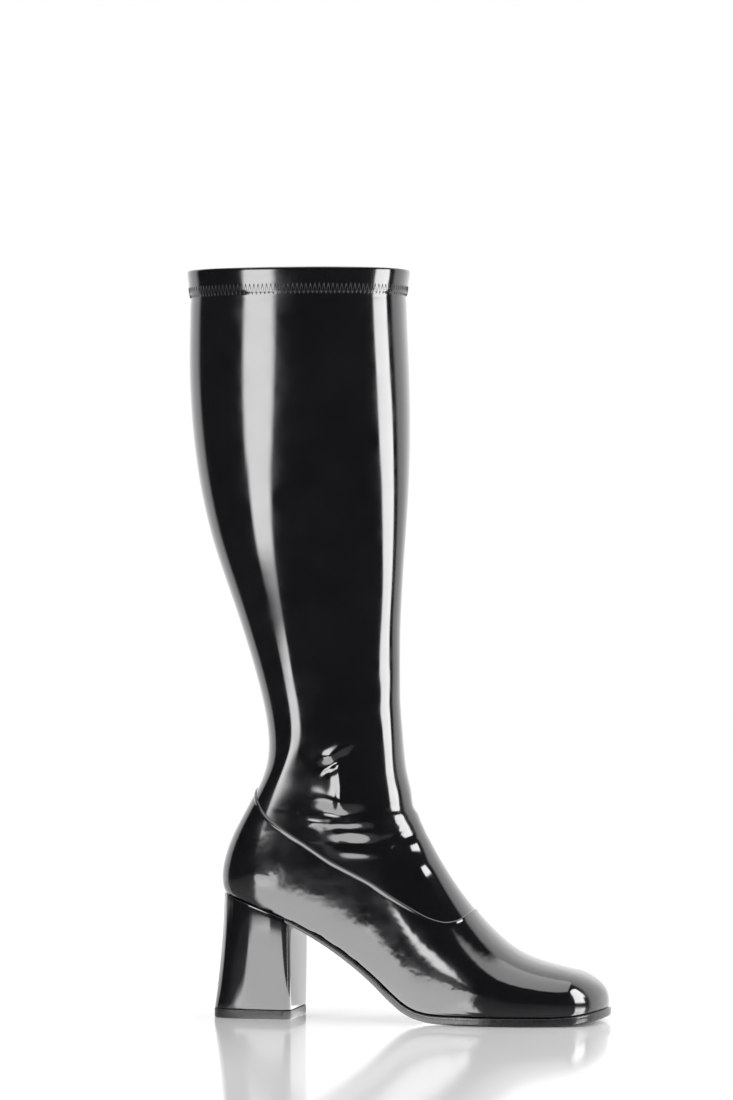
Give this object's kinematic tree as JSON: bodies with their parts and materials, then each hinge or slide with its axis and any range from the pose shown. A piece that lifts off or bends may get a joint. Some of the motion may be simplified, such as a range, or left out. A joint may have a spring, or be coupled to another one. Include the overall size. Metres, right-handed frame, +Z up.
{
  "type": "go go boot",
  "caption": "Calf-high pull-on stretch-patent boot with a rounded-square toe, curved foot seam and covered block heel, right foot.",
  "frame": {"origin": "centre of the heel's rest face on the floor", "axes": "+X towards the toe, +Y towards the wearer's inner side of this right boot, +Z up"},
  "size_m": [0.2586, 0.0978, 0.4535],
  "materials": {
    "shaft_patent": "black stretch patent, mirror gloss",
    "foot_patent": "black patent, mirror gloss",
    "insole_lining": "matt black lining",
    "outsole_resin": "black, polished edge, matt underside",
    "heel_cover": "black patent cover, high gloss",
    "lift_rubber": "black, matt"
  },
  "bodies": {
    "root": {"shaft": "shaft_patent", "foot_upper": "foot_patent", "insole": "insole_lining", "outsole": "outsole_resin", "heel": "heel_cover", "top_lift": "lift_rubber"}
  },
  "joints": []
}
